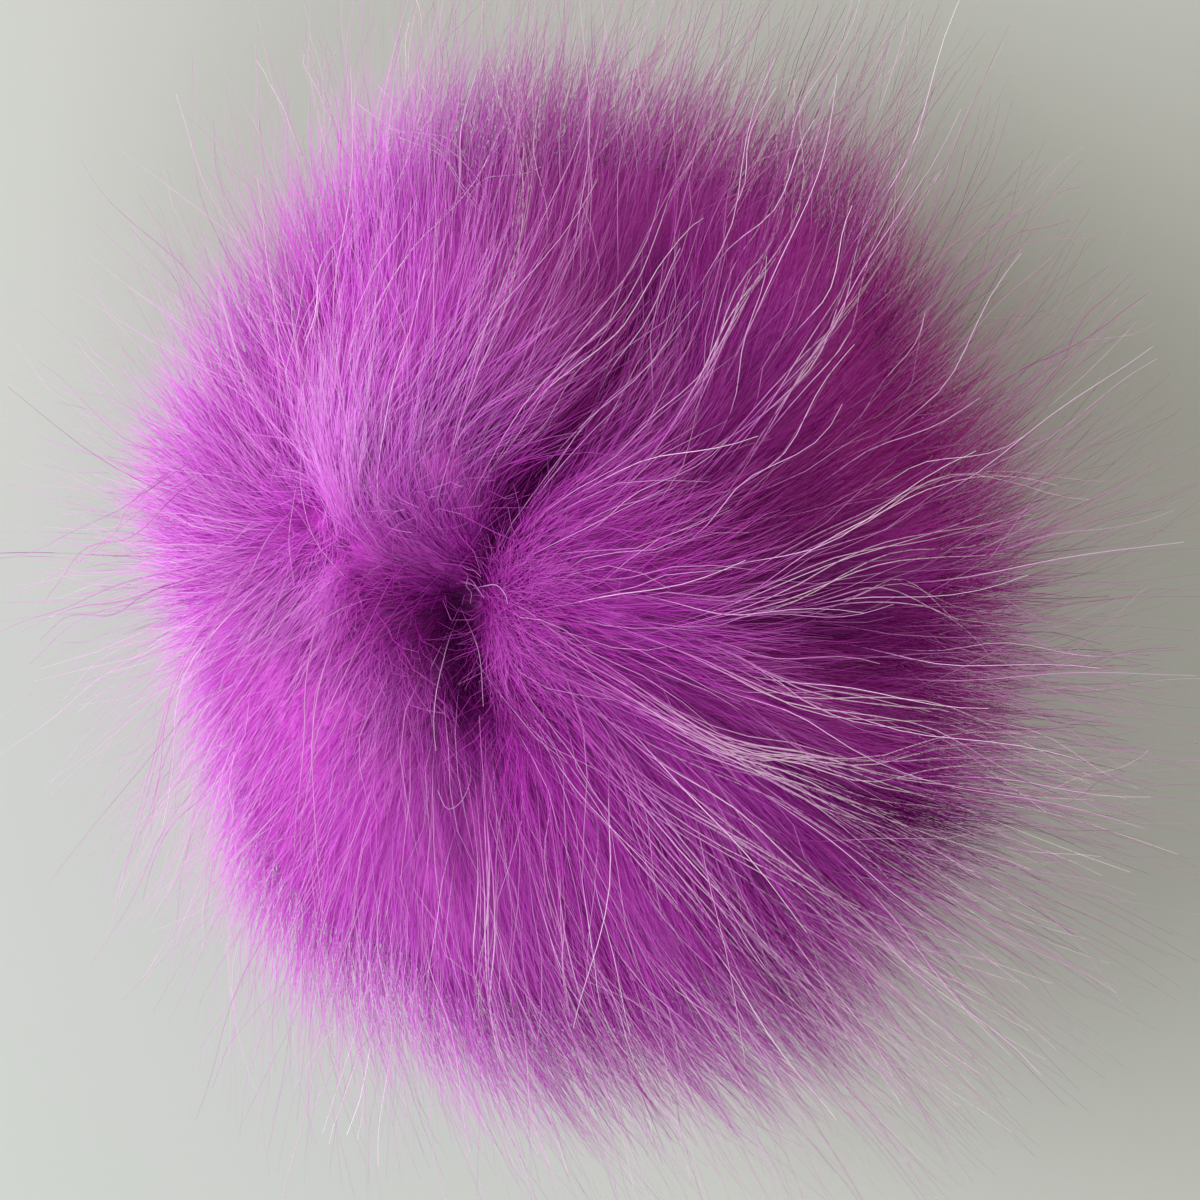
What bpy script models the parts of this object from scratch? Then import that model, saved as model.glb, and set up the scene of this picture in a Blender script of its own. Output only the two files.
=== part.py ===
"""A pom pom of long fur: one ball of gathered pelt whose hair falls in tapering locks."""

import bpy
import bmesh
import math
import random
from collections import namedtuple
from mathutils import Quaternion, Vector

# Sizes are in metres, turns in degrees. +Z is up, and the ball rests on the plane z = 0.
# +X is the picture's right and +Y is its top.
BALL_HALF_WIDTH = 0.0425
BALL_HALF_DEPTH = 0.0485
BALL_HALF_HEIGHT = 0.0350
BALL_CENTRE = Vector((0.0, 0.0, 0.0335))
BALL_FINENESS = 4

LOCK_COUNT = 286
LOCK_ROOT_INSET = 0.0011
LOCK_SEGMENTS = 4
STEPS_PER_SEGMENT = 3
LOCK_THICKNESS = (1.0, 0.80, 0.56, 0.34, 0.12)
LOWEST_ROOT = 0.0065
LENGTH_SPREAD = 0.12
LENGTH_SEED = 11

# How far the hair stands off the ball: the outward pull against the pull along the ball.
OUTWARD_PULL = 0.70
ALONG_PULL = 0.72
DOWNWARD_SHARE = 0.30
FLOOR_REACH = 0.0075
LOCK_HALF_THICKNESS = 0.0012

# Where the hair parts: the gather of the pelt, and a smaller parting beside it.
Parting = namedtuple("Parting", "x y strength")
PARTINGS = (
    Parting(x=-0.0127, y=-0.0035, strength=1.00),
    Parting(x=-0.0305, y=0.0063, strength=0.40),
)

# Swellings and hollows of the ball, seen from its centre.
Lobe = namedtuple("Lobe", "azimuth rise spread height")
LOBES = (
    Lobe(azimuth=195, rise=69, spread=15, height=-0.0075),
    Lobe(azimuth=250, rise=52, spread=13, height=-0.0040),
    Lobe(azimuth=168, rise=38, spread=13, height=-0.0050),
    Lobe(azimuth=75, rise=62, spread=14, height=-0.0025),
    Lobe(azimuth=118, rise=48, spread=22, height=0.0040),
    Lobe(azimuth=168, rise=8, spread=24, height=0.0022),
    Lobe(azimuth=222, rise=22, spread=22, height=0.0030),
    Lobe(azimuth=275, rise=20, spread=26, height=0.0032),
    Lobe(azimuth=325, rise=28, spread=24, height=0.0028),
    Lobe(azimuth=15, rise=30, spread=26, height=0.0015),
    Lobe(azimuth=60, rise=24, spread=22, height=0.0022),
)

# Round the gather: how far the hair turns from straight outward, and its length.
Sweep = namedtuple("Sweep", "azimuth bend length")
SWEEPS = (
    Sweep(azimuth=-180, bend=0, length=0.0190),
    Sweep(azimuth=-120, bend=4, length=0.0205),
    Sweep(azimuth=-85, bend=6, length=0.0225),
    Sweep(azimuth=-45, bend=-8, length=0.0215),
    Sweep(azimuth=0, bend=10, length=0.0200),
    Sweep(azimuth=40, bend=30, length=0.0205),
    Sweep(azimuth=75, bend=12, length=0.0205),
    Sweep(azimuth=110, bend=0, length=0.0195),
    Sweep(azimuth=180, bend=0, length=0.0190),
)
BEND_REACH = 0.050
SHORT_NEAR_PARTING = 0.55
PARTING_REACH = 0.018
PARTING_BARE = 0.011
LOW_BAND = 0.020
SHORT_LOW_DOWN = 0.62

# The long locks that stand out past the rest, by where they leave the ball.
LongLock = namedtuple("LongLock", "azimuth rise length")
LONG_LOCKS = (
    LongLock(azimuth=-88, rise=14, length=0.034),
    LongLock(azimuth=-112, rise=12, length=0.033),
    LongLock(azimuth=-66, rise=16, length=0.032),
    LongLock(azimuth=-48, rise=15, length=0.034),
    LongLock(azimuth=-28, rise=14, length=0.033),
    LongLock(azimuth=8, rise=16, length=0.031),
    LongLock(azimuth=42, rise=18, length=0.032),
    LongLock(azimuth=66, rise=14, length=0.029),
    LongLock(azimuth=98, rise=16, length=0.024),
    LongLock(azimuth=138, rise=12, length=0.029),
    LongLock(azimuth=176, rise=16, length=0.026),
    LongLock(azimuth=208, rise=10, length=0.029),
)


def direction(azimuth, rise):
    """The unit direction at an azimuth from +X and a rise from level."""
    level = math.cos(math.radians(rise))
    turn = math.radians(azimuth)
    return Vector((level * math.cos(turn), level * math.sin(turn), math.sin(math.radians(rise))))


def ball_reach(heading):
    """The distance from the ball's centre to its surface along a heading."""
    x, y, z = heading
    plain = 1.0 / math.sqrt((x / BALL_HALF_WIDTH) ** 2 + (y / BALL_HALF_DEPTH) ** 2
                            + (z / BALL_HALF_HEIGHT) ** 2)
    swell = 0.0
    for lobe in LOBES:
        away = math.degrees(heading.angle(direction(lobe.azimuth, lobe.rise)))
        swell += lobe.height * math.exp(-(away / lobe.spread) ** 2)
    return plain + swell


def outward(point):
    """The outward direction of the plain ball at or beyond a point."""
    reach = point - BALL_CENTRE
    return Vector((reach.x / BALL_HALF_WIDTH ** 2, reach.y / BALL_HALF_DEPTH ** 2,
                   reach.z / BALL_HALF_HEIGHT ** 2)).normalized()


def parting_point(parting):
    """The point on top of the plain ball where the hair parts."""
    level = 1.0 - (parting.x / BALL_HALF_WIDTH) ** 2 - (parting.y / BALL_HALF_DEPTH) ** 2
    return BALL_CENTRE + Vector((parting.x, parting.y, BALL_HALF_HEIGHT * math.sqrt(level)))


def nearest_parting(point):
    """The distance from a point to the nearest place where the hair parts."""
    return min((point - parting_point(parting)).length for parting in PARTINGS)


def sweep_at(azimuth):
    """The bend and the length at an azimuth round the gather, between the rows of SWEEPS."""
    for first, second in zip(SWEEPS, SWEEPS[1:]):
        if azimuth <= second.azimuth:
            share = (azimuth - first.azimuth) / (second.azimuth - first.azimuth)
            bend = first.bend + share * (second.bend - first.bend)
            return bend, first.length + share * (second.length - first.length)
    return SWEEPS[-1].bend, SWEEPS[-1].length


def away_from_middle(point):
    """The level direction that leads away from the ball's upright middle line."""
    return Vector((point.x, point.y, 0.0)).normalized()


def azimuth_round_gather(point):
    """The azimuth of a point seen from above the gather."""
    return math.degrees(math.atan2(point.y - PARTINGS[0].y, point.x - PARTINGS[0].x))


def hair_heading(point):
    """The direction in which hair runs at a point on or outside the ball."""
    flow = Vector((0.0, 0.0, 0.0))
    for parting in PARTINGS:
        away = point - parting_point(parting)
        flow += parting.strength * away / away.length_squared
    out = outward(point)
    flow = (flow - out * flow.dot(out)).normalized()
    gather_distance = (point - parting_point(PARTINGS[0])).length
    bend = sweep_at(azimuth_round_gather(point))[0] * min(1.0, gather_distance / BEND_REACH)
    flow = Quaternion(out, math.radians(bend)) @ flow
    if flow.z < 0.0:
        flow.z *= DOWNWARD_SHARE
        flow -= away_from_middle(point) * min(0.0, flow.dot(away_from_middle(point)))
    heading = (out * OUTWARD_PULL + flow * ALONG_PULL).normalized()
    clear = (point.z - LOCK_HALF_THICKNESS) / FLOOR_REACH
    if heading.z < 0.0:
        heading.z *= max(0.0, min(1.0, clear))
    return heading.normalized()


def lock_path(root, length):
    """The points of a lock's middle line, from its root to its tip."""
    step = length / (LOCK_SEGMENTS * STEPS_PER_SEGMENT)
    point = root.copy()
    path = []
    for _ in range(LOCK_SEGMENTS):
        for _ in range(STEPS_PER_SEGMENT):
            point = point + hair_heading(point) * step
        path.append((point.copy(), hair_heading(point)))
    return path


def lock_length(root, chance):
    """The length of a lock by where its root lies."""
    length = sweep_at(azimuth_round_gather(root))[1]
    near = min(1.0, nearest_parting(root) / PARTING_REACH)
    length *= SHORT_NEAR_PARTING + (1.0 - SHORT_NEAR_PARTING) * near
    low = max(0.0, 1.0 - root.z / LOW_BAND)
    length *= 1.0 - (1.0 - SHORT_LOW_DOWN) * low
    return length * (1.0 + LENGTH_SPREAD * chance.uniform(-1.0, 1.0))


def shape_ball(bm):
    """The ball of pelt: a round form with its swellings, and a flat spot where it rests."""
    bmesh.ops.create_icosphere(bm, subdivisions=BALL_FINENESS, radius=1.0)
    for vertex in bm.verts:
        heading = vertex.co.normalized()
        vertex.co = BALL_CENTRE + heading * ball_reach(heading)
        vertex.co.z = max(0.0, vertex.co.z)
    bm.normal_update()


def spread_roots(bm):
    """Evenly spread faces of the ball, each the root of one lock."""
    centres = {}
    for face in bm.faces:
        centre = face.calc_center_median()
        if centre.z > LOWEST_ROOT and nearest_parting(centre) > PARTING_BARE:
            centres[face] = centre
    faces = list(centres)
    chosen = [faces[0]]
    distance = {face: (centres[face] - centres[faces[0]]).length for face in faces}
    while len(chosen) < LOCK_COUNT:
        farthest = max(faces, key=lambda face: distance[face])
        chosen.append(farthest)
        for face in faces:
            distance[face] = min(distance[face], (centres[face] - centres[farthest]).length)
    return [(face, centres[face]) for face in chosen]


def long_lock_lengths(roots):
    """The root nearest to each row of LONG_LOCKS, with that row's length."""
    lengths = {}
    for row in LONG_LOCKS:
        heading = direction(row.azimuth, row.rise)
        nearest = min(roots, key=lambda root: (root[1] - BALL_CENTRE).angle(heading))
        lengths[nearest[0]] = row.length
    return lengths


def grow_lock(bm, face, root, length):
    """One three-sided lock, drawn out of its root face along the run of the hair."""
    bmesh.ops.inset_individual(bm, faces=[face], thickness=LOCK_ROOT_INSET)
    centre = root
    heading = face.normal.copy()
    thickness = LOCK_THICKNESS[0]
    for (point, ahead), thinner in zip(lock_path(root, length), LOCK_THICKNESS[1:]):
        face = bmesh.ops.extrude_discrete_faces(bm, faces=[face])["faces"][0]
        turn = heading.rotation_difference(ahead)
        for vertex in face.verts:
            side = turn @ (vertex.co - centre)
            vertex.co = point + side * (thinner / thickness)
            vertex.co.z = max(0.0, vertex.co.z)
        centre, heading, thickness = point, ahead, thinner


def build_fur_ball(collection):
    """The fur ball with all its locks, as one solid."""
    chance = random.Random(LENGTH_SEED)
    bm = bmesh.new()
    shape_ball(bm)
    roots = spread_roots(bm)
    long_lengths = long_lock_lengths(roots)
    for face, root in roots:
        length = long_lengths.get(face, lock_length(root, chance))
        grow_lock(bm, face, root, length)
    bmesh.ops.recalc_face_normals(bm, faces=bm.faces)
    mesh = bpy.data.meshes.new("fur_ball")
    bm.to_mesh(mesh)
    bm.free()
    ball = bpy.data.objects.new("fur_ball", mesh)
    collection.objects.link(ball)
    mesh.materials.append(fur_material())
    return ball


def fur_material():
    """Long soft fur, dyed orchid purple."""
    material = bpy.data.materials.new("fur")
    material.use_nodes = True
    surface = material.node_tree.nodes["Principled BSDF"]
    surface.inputs["Base Color"].default_value = (0.36, 0.04, 0.36, 1.0)
    surface.inputs["Roughness"].default_value = 0.6
    surface.inputs["Sheen Weight"].default_value = 0.4
    return material


def main():
    for item in list(bpy.data.objects):
        bpy.data.objects.remove(item)
    collection = bpy.data.collections.new("pom_pom")
    bpy.context.scene.collection.children.link(collection)
    build_fur_ball(collection)


main()
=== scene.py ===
# A pom pom of long dyed fur, lying on a pale surface and seen from above.
import bpy
import bmesh
import math
import numpy as np
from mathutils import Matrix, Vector, noise
from mathutils.kdtree import KDTree


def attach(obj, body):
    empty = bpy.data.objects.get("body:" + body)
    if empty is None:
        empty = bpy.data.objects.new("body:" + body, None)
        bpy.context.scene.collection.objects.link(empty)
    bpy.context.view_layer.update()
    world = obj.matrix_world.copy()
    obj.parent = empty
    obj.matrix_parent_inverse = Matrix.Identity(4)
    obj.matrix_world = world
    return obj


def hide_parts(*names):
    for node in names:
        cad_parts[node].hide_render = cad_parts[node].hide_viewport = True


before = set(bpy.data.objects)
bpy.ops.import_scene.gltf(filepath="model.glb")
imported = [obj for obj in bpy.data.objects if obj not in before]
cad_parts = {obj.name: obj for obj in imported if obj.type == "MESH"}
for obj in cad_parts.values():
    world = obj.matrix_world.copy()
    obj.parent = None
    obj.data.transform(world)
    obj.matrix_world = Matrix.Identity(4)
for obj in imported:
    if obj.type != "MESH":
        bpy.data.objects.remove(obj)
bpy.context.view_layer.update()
print("frame loaded")


# The ball of pelt and the way its hair runs. Metres and degrees, with lines in plan in millimetres:
# +x to the right, +y to the top of the photograph.
pelt = {
    "halfSizes": (0.0425, 0.0485, 0.0350),
    "centreHeight": 0.0335,
    "pile": (0.0002, 0.0034),  # height of the dense mass over the skin, at the sides and on top
    "pileRise": (0.10, 0.55),  # where the pile starts to rise up the ball, and over what share
    "gather": (-0.0127, -0.0035),  # where the pelt is drawn together, seen from above
    "sideParting": (-0.0305, 0.0063),
    "sideStrength": 0.60, "sideNearness": 1.6,
    # azimuth, rise, spread in degrees, height in metres
    "lobes": [
        (195, 69, 15, -0.0075), (250, 52, 13, -0.0040), (168, 38, 13, -0.0050),
        (75, 62, 14, -0.0025), (118, 48, 22, 0.0040), (168, 8, 24, 0.0022),
        (222, 22, 22, 0.0030), (275, 20, 26, 0.0032), (325, 28, 24, 0.0028),
        (15, 30, 26, 0.0015), (60, 24, 22, 0.0022)],
    # azimuth round the gather, bend in degrees
    "bends": [(-180, 0), (-120, 4), (-85, 6), (-45, -8), (0, 10), (40, 30), (75, 12), (110, 0), (180, 0)],
    "bendReach": 0.050,
    "floorReach": 0.0075, "floorGap": 0.0008,
    # depth and width, then the line in plan
    "valleys": [
        (0.0022, 0.0070, [(-31, 36), (-30, 26), (-30, 18), (-30, 9), (-25, 1)]),
        (0.0055, 0.0048, [(-13, 0), (-12.5, -8), (-12, -15), (-11, -20)]),
        (0.0036, 0.0044, [(-12, 1), (-7, 8), (-2, 14), (4, 24)]),
        (0.0028, 0.0050, [(-27, 1), (-22, -7), (-16, -13)]),
        (0.0030, 0.0080, [(2, -20), (13, -30), (24, -44)]),
        (0.0034, 0.0100, [(17, 5), (29, 14), (42, 20)]),
        (0.0030, 0.0090, [(18, -4), (32, -8), (46, -10)]),
        (0.0030, 0.0070, [(-8, -22), (-3, -36), (0, -50)])],
    # darkness and width, then the line in plan, of painted shade where no light reaches down between the
    # lobes
    "hollows": [
        (1.00, 0.0038, [(-13.8, -3.5), (-13.0, -8.5), (-11.5, -13)]),
        (0.62, 0.0060, [(-21, -3), (-15, -6), (-8, -12), (-3, -16)]),
        (0.82, 0.0030, [(-11.5, -1), (-8, 6), (-3, 13)]),
        (0.58, 0.0052, [(-10.5, 0), (-6.5, 8), (0, 18), (9, 28)]),
        (0.50, 0.0075, [(-7, 3), (0, 2), (7, -1)]),
        (0.50, 0.0080, [(-6, -3), (1, -8), (8, -13)]),
        (0.64, 0.0115, [(14, 10), (16, 4), (20, -1), (28, -6)]),
        (0.46, 0.0085, [(13, 30), (17, 22), (17, 12)]),
        (0.54, 0.0060, [(24, -22), (31, -26), (39, -28)]),
        (0.52, 0.0042, [(5, -12), (13, -17.5), (23, -21)]),
        (0.50, 0.0048, [(2, -21), (9, -30), (17, -39)]),
        (0.44, 0.0042, [(-4, -25), (0, -36), (4, -46)]),
        (0.45, 0.0045, [(-12, -16), (-9, -22), (-4, -28)])],
    # height and width, then the line in plan
    "ridges": [
        (0.0028, 0.0100, [(-15, 42), (-15, 30), (-16, 18), (-17, 9)]),
        (0.0026, 0.0070, [(6, -1), (13, 2), (17, 12), (22, 26), (27, 40)]),
        (0.0026, 0.0090, [(-40, 20), (-42, 8)]),
        (0.0024, 0.0085, [(-22, -14), (-28, -26), (-28, -38)]),
        (0.0024, 0.0085, [(-12, -30), (-10, -44)])],
    # share and width, then the line in plan, where the hair is paler: painted light where the light falls on
    # the lobes
    "paintedLightRuns": [
        (0.22, 0.0090, [(-15, 46), (-16, 28), (-17.5, 12), (-18.5, -2)]),
        (0.28, 0.0120, [(-20, 46), (0, 50), (24, 43)]),
        (0.12, 0.0050, [(2, -1), (9, 17), (16, 32), (22, 46)])],
    "fadeHeight": 0.010,  # the lines fade out over this height above the ball's middle
    "sideTangle": 75.0, "sideTangleReach": 0.013,
    "turnPatches": (55.0, 12), "tanglePatches": (120.0, 31),  # scale and seed
    "relief": [(9.0, 1, 0.0012), (26.0, 2, 0.0005)],  # scale, seed, height
    "rootScatter": 0.9,
    "fineness": 6}

mm = 0.001
halfSizes = np.array(pelt["halfSizes"])
ballCentre = np.array([0.0, 0.0, pelt["centreHeight"]])


def newObject(name, data):
    made = bpy.data.objects.new(name, data)
    bpy.context.scene.collection.objects.link(made)
    return made


def unit(vectors):
    return vectors / np.maximum(np.linalg.norm(vectors, axis=-1, keepdims=True), 1e-12)


def headingOf(azimuth, rise):
    a, r = math.radians(azimuth), math.radians(rise)
    return np.array([math.cos(r) * math.cos(a), math.cos(r) * math.sin(a), math.sin(r)])


def azimuthOf(places, middle=(0.0, 0.0)):
    return np.degrees(np.arctan2(places[:, 1] - middle[1], places[:, 0] - middle[0]))


def fromTable(rows, values):
    # a value read between the rows of a short table
    table = np.array(rows, dtype=float)
    return np.interp(values, table[:, 0], table[:, 1])


def ballReach(headings):
    reach = 1.0 / np.linalg.norm(headings / halfSizes, axis=-1)
    for azimuth, rise, spread, height in pelt["lobes"]:
        away = np.degrees(np.arccos(np.clip(headings @ headingOf(azimuth, rise), -1, 1)))
        reach = reach + height * np.exp(-(away / spread) ** 2)
    return reach


def nearLine(plan, corners, wide):
    # 1 on a line of plan corners in millimetres, falling to 0 beside it
    line = np.array(corners) * mm
    nearest = np.full(len(plan), np.inf)
    for a, b in zip(line, line[1:]):
        share = np.clip(((plan - a) @ (b - a)) / ((b - a) @ (b - a)), 0, 1)
        nearest = np.minimum(nearest, np.linalg.norm(plan - (a + share[:, None] * (b - a)), axis=1))
    return np.exp(-(nearest / wide) ** 2)


def strongestLine(places, rows):
    most = np.zeros(len(places))
    for amount, wide, corners in rows:
        most = np.maximum(most, amount * nearLine(places[:, :2], corners, wide))
    return most


def upperHalf(places):
    return np.clip((places[:, 2] - ballCentre[2]) / pelt["fadeHeight"], 0, 1)


def valleyDepth(places):
    # how far the creases between the lobes sink below the round form
    return strongestLine(places, pelt["valleys"]) * upperHalf(places)


def ridgeHeight(places):
    return strongestLine(places, pelt["ridges"]) * upperHalf(places)


def paintedShadeAt(places):
    # 1 where the painted shade of a hollow is darkest
    return strongestLine(places, pelt["hollows"]) * upperHalf(places)


def peltPoint(headings):
    places = ballCentre + headings * ballReach(headings)[:, None]
    start, span = pelt["pileRise"]
    low, high = pelt["pile"]
    upper = np.clip((headings[:, 2] - start) / span, 0, 1)
    pile = low + (high - low) * upper * upper * (3 - 2 * upper)
    return places + headings * (pile + ridgeHeight(places) - valleyDepth(places))[:, None]


def peltFacing(headings):
    # the lobed surface's own outward direction, from four points close by
    apart = 0.03
    slanted = np.array([0.31, 0.17, 0.93])
    first = unit(np.cross(headings, slanted))
    second = np.cross(headings, first)
    across = peltPoint(unit(headings + apart * first)) - peltPoint(unit(headings - apart * first))
    along = peltPoint(unit(headings + apart * second)) - peltPoint(unit(headings - apart * second))
    facing = unit(np.cross(across, along))
    return facing * np.sign(np.sum(facing * headings, axis=1, keepdims=True))


def topPoint(plan):
    # points of the round form straight above places in plan
    plan = np.asarray(plan)
    level = 1.0 - (plan[..., 0] / halfSizes[0]) ** 2 - (plan[..., 1] / halfSizes[1]) ** 2
    height = halfSizes[2] * np.sqrt(np.maximum(level, 0.0))
    return ballCentre + np.stack([plan[..., 0], plan[..., 1], height], axis=-1)


gatherPoint = topPoint(pelt["gather"])
sidePoint = topPoint(pelt["sideParting"])


def outwardAt(points):
    return unit((points - ballCentre) / halfSizes ** 2)


def turnAbout(vectors, axes, angles):
    c, s = np.cos(angles)[:, None], np.sin(angles)[:, None]
    along = np.sum(axes * vectors, axis=1, keepdims=True)
    return vectors * c + np.cross(axes, vectors) * s + axes * along * (1 - c)


def hairHeading(points, comb):
    # over the ball, away from both partings
    flow = np.zeros_like(points)
    for source, strength in ((gatherPoint, 1.0), (sidePoint, pelt["sideStrength"])):
        away = points - source
        flow += strength * away / np.maximum(np.sum(away ** 2, axis=1, keepdims=True), 1e-9)
    out = outwardAt(points)
    flow = unit(flow - out * np.sum(flow * out, axis=1, keepdims=True))
    # bent to one side, as the hair is brushed
    gatherDistance = np.linalg.norm(points - gatherPoint, axis=1)
    bend = fromTable(pelt["bends"], azimuthOf(points, gatherPoint))
    bend = bend * np.minimum(1.0, gatherDistance / pelt["bendReach"])
    flow = turnAbout(flow, out, np.radians(bend))
    # it doesn't hang straight down the sides, and doesn't turn in under the ball
    down = np.clip(-flow[:, 2:] / comb["easeDown"], 0, 1)
    flow[:, 2:] *= 1 - (1 - comb["downShare"]) * down
    level = unit(points * np.array([1.0, 1.0, 0.0]))
    inward = np.minimum(0.0, np.sum(flow * level, axis=1, keepdims=True))
    flow = flow - level * inward * down
    # it stands up more steeply beside a parting, and lies level near the floor
    sideDistance = np.linalg.norm(points - sidePoint, axis=1) * pelt["sideNearness"]
    partingDistance = np.minimum(gatherDistance, sideDistance)
    steeper = comb["steepAtParting"] * np.exp(-(partingDistance / comb["steepReach"]) ** 2)
    heading = unit(out * (comb["outPull"] + steeper)[:, None] + flow * comb["alongPull"])
    clear = np.clip((points[:, 2] - pelt["floorGap"]) / pelt["floorReach"], 0, 1)
    heading[:, 2] = np.where(heading[:, 2] < 0, heading[:, 2] * clear, heading[:, 2])
    return unit(heading)


def growPaths(roots, lengths, pointCount, comb, turns):
    # paths as an array: hair, point, xyz; turns: how far each hair leaves the common run, in degrees
    stepsEach = 3
    step = (lengths / ((pointCount - 1) * stepsEach))[:, None]
    point = roots.copy()
    path = [point.copy()]
    for _ in range(pointCount - 1):
        for _ in range(stepsEach):
            heading = turnAbout(hairHeading(point, comb), outwardAt(point), np.radians(turns))
            point = point + heading * step
        path.append(point.copy())
    return np.stack(path, axis=1)


def evenRoots(count, lowest, chance):
    # evenly spread roots on the ball, on a spiral from the top, each a little out of place
    k = np.arange(count) + 0.5
    rise = np.arccos(1 - 2 * k / count)
    turn = math.pi * (1 + math.sqrt(5)) * k
    headings = np.stack([np.cos(turn) * np.sin(rise), np.sin(turn) * np.sin(rise), np.cos(rise)], axis=1)
    headings = unit(headings + chance.normal(0, pelt["rootScatter"] / math.sqrt(count), headings.shape))
    roots = peltPoint(headings)
    return roots[roots[:, 2] > lowest]


def smoothNoise(points, scale, seed):
    offset = Vector((seed * 7.31, seed * 3.17, seed * 5.23))  # so that no two seeds share a pattern
    return np.array([noise.noise(Vector(p) * scale + offset) for p in points])


def strayTurns(roots, broad, single, chance):
    # neighbouring hairs turn together, and each a little by itself, most at the tangled side parting
    near = np.exp(-(np.linalg.norm(roots - sidePoint, axis=1) / pelt["sideTangleReach"]) ** 2)
    tangle = near * smoothNoise(roots, *pelt["tanglePatches"]) * pelt["sideTangle"]
    common = smoothNoise(roots, *pelt["turnPatches"]) * broad
    return common + tangle + chance.normal(0, single, len(roots))


# Hairs as closed tubes, each with its own map. Tones under openTone are darkened, down to hollowTone, as
# painted shade.
hairTube = {
    "sides": 3, "band": 0.06,  # share of the map's height that runs round the tube
    "hollowTone": 0.02, "openTone": 0.20, "hollowShade": 0.10,
    "bellyAt": 0.3, "tipCurve": 1.2, "uneven": 0.2,
    "groundShare": 0.6}  # how far a hair faces as the pelt under it does


def hairNodes(label):
    # lines with "thickness", "tone", "along" and "face" become closed tubes
    tree = bpy.data.node_groups.new(label, "GeometryNodeTree")
    tree.interface.new_socket("Geometry", in_out="INPUT", socket_type="NodeSocketGeometry")
    tree.interface.new_socket("Geometry", in_out="OUTPUT", socket_type="NodeSocketGeometry")
    nodes, links = tree.nodes, tree.links
    start = nodes.new("NodeGroupInput")
    end = nodes.new("NodeGroupOutput")
    curves = nodes.new("GeometryNodeMeshToCurve")
    facing = nodes.new("GeometryNodeSetCurveNormal")
    facing.mode = "FREE"
    tubes = nodes.new("GeometryNodeCurveToMesh")
    tubes.inputs["Fill Caps"].default_value = True
    ring = nodes.new("GeometryNodeCurvePrimitiveCircle")
    ring.inputs["Resolution"].default_value = hairTube["sides"]
    ring.inputs["Radius"].default_value = 1.0
    around = nodes.new("GeometryNodeSplineParameter")

    def named(name, kind="FLOAT"):
        node = nodes.new("GeometryNodeInputNamedAttribute")
        node.data_type = kind
        node.inputs["Name"].default_value = name
        return node.outputs["Attribute"]

    def stored(name, kind, domain):
        node = nodes.new("GeometryNodeStoreNamedAttribute")
        node.data_type, node.domain = kind, domain
        node.inputs["Name"].default_value = name
        return node

    keepAround = stored("around", "FLOAT", "POINT")
    links.new(start.outputs[0], curves.inputs["Mesh"])
    links.new(curves.outputs["Curve"], facing.inputs["Curve"])
    links.new(named("face", "FLOAT_VECTOR"), facing.inputs["Normal"])
    links.new(facing.outputs["Curve"], tubes.inputs["Curve"])
    links.new(named("thickness"), tubes.inputs["Scale"])
    links.new(ring.outputs["Curve"], keepAround.inputs["Geometry"])
    links.new(around.outputs["Factor"], keepAround.inputs["Value"])
    links.new(keepAround.outputs["Geometry"], tubes.inputs["Profile Curve"])
    # the hair's own map: from root to tip, and its tone with a narrow band round the tube
    band = nodes.new("ShaderNodeMath")
    band.operation = "MULTIPLY"
    band.inputs[1].default_value = hairTube["band"]
    links.new(named("around"), band.inputs[0])
    tone = nodes.new("ShaderNodeMath")
    tone.operation = "MULTIPLY_ADD"
    tone.inputs[1].default_value = 1.0 - hairTube["band"]
    links.new(named("tone"), tone.inputs[0])
    links.new(band.outputs[0], tone.inputs[2])
    place = nodes.new("ShaderNodeCombineXYZ")
    links.new(named("along"), place.inputs["X"])
    links.new(tone.outputs[0], place.inputs["Y"])
    keepMap = stored("OFBake", "FLOAT2", "CORNER")
    links.new(tubes.outputs["Mesh"], keepMap.inputs["Geometry"])
    links.new(place.outputs["Vector"], keepMap.inputs["Value"])
    smooth = nodes.new("GeometryNodeSetShadeSmooth")
    links.new(keepMap.outputs["Geometry"], smooth.inputs["Geometry"])
    links.new(smooth.outputs["Geometry"], end.inputs[0])
    return tree


tubeTree = hairNodes("hairTubes")


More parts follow.
